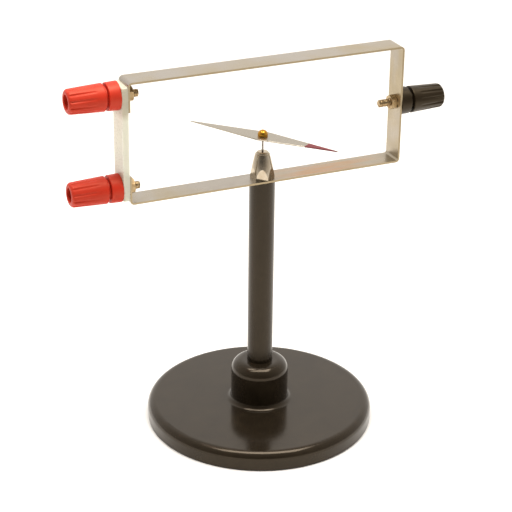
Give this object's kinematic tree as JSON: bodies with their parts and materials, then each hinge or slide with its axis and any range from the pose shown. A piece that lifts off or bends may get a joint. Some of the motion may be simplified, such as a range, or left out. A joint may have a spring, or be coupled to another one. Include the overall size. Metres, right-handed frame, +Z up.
{
  "type": "oersted apparatus",
  "caption": "Round moulded stand whose column carries a long flat metal band, bent into a loop round a pivoted magnetic needle, with screw binding posts on the band.",
  "frame": {"origin": "centre of the base's underside, in the plane of the table", "axes": "+Z up along the column, +X along the band from the red posts to the black post, +Y across the band"},
  "size_m": [0.2046, 0.12, 0.1999],
  "materials": {
    "brown_moulding": "glossy moulded resin, brown black",
    "plain_steel": "plain turned steel",
    "satin_plated_band": "satin nickel plate on brass strip",
    "bright_plate": "bright nickel plate on brass",
    "clear_bar": "clear to milky cast sheet",
    "needle_steel": "ground magnet steel, one half painted red",
    "turned_brass": "turned brass",
    "jewel": "polished",
    "red_moulding": "smooth moulded resin, red",
    "black_moulding": "smooth moulded resin, black"
  },
  "bodies": {
    "stand": {"base": "brown_moulding", "column": "brown_moulding", "tie_rod": "plain_steel", "rod_washer": "plain_steel", "rod_nut": "plain_steel", "conductor_band": "satin_plated_band", "insulating_bar": "clear_bar", "pivot_holder": "bright_plate", "pivot_pin": "plain_steel", "upper_red_collar": "red_moulding", "upper_red_stud": "turned_brass", "upper_red_nut": "turned_brass", "lower_red_collar": "red_moulding", "lower_red_stud": "turned_brass", "lower_red_nut": "turned_brass", "black_collar": "black_moulding", "black_stud": "turned_brass", "black_nut": "turned_brass"},
    "needle": {"needle_blade": "needle_steel", "needle_cap": "turned_brass", "needle_jewel": "jewel"},
    "upper_red_runner": {"upper_red_insert": "turned_brass"},
    "upper_red_grip": {"upper_red_cap": "red_moulding"},
    "lower_red_runner": {"lower_red_insert": "turned_brass"},
    "lower_red_grip": {"lower_red_cap": "red_moulding"},
    "black_runner": {"black_insert": "turned_brass"},
    "black_grip": {"black_cap": "black_moulding"}
  },
  "joints": [
    {"name": "needle_swing", "type": "hinge", "parent": "stand", "child": "needle", "pos_m": [0, 0, 0.16], "axis": [0, 0, 1], "continuous": true},
    {"name": "upper_red_travel", "type": "slide", "parent": "stand", "child": "upper_red_runner", "axis": [-1, 0, 0], "range_m": [0, 0.004]},
    {"name": "upper_red_turn", "type": "hinge", "parent": "upper_red_runner", "child": "upper_red_grip", "pos_m": [-0.0769, 0, 0.1923], "axis": [-1, 0, 0], "range_deg": [0, 1800]},
    {"name": "lower_red_travel", "type": "slide", "parent": "stand", "child": "lower_red_runner", "axis": [-1, 0, 0], "range_m": [0, 0.004]},
    {"name": "lower_red_turn", "type": "hinge", "parent": "lower_red_runner", "child": "lower_red_grip", "pos_m": [-0.0769, 0, 0.1445], "axis": [-1, 0, 0], "range_deg": [0, 1800]},
    {"name": "black_travel", "type": "slide", "parent": "stand", "child": "black_runner", "axis": [1, 0, 0], "range_m": [0, 0.004]},
    {"name": "black_turn", "type": "hinge", "parent": "black_runner", "child": "black_grip", "pos_m": [0.0757, 0, 0.1684], "axis": [1, 0, 0], "range_deg": [0, 1800]}
  ],
  "couplings": [
    {"joint": "upper_red_turn", "follows": "upper_red_travel", "rad_per_m": 7854},
    {"joint": "lower_red_turn", "follows": "lower_red_travel", "rad_per_m": 7854},
    {"joint": "black_turn", "follows": "black_travel", "rad_per_m": 7854}
  ]
}
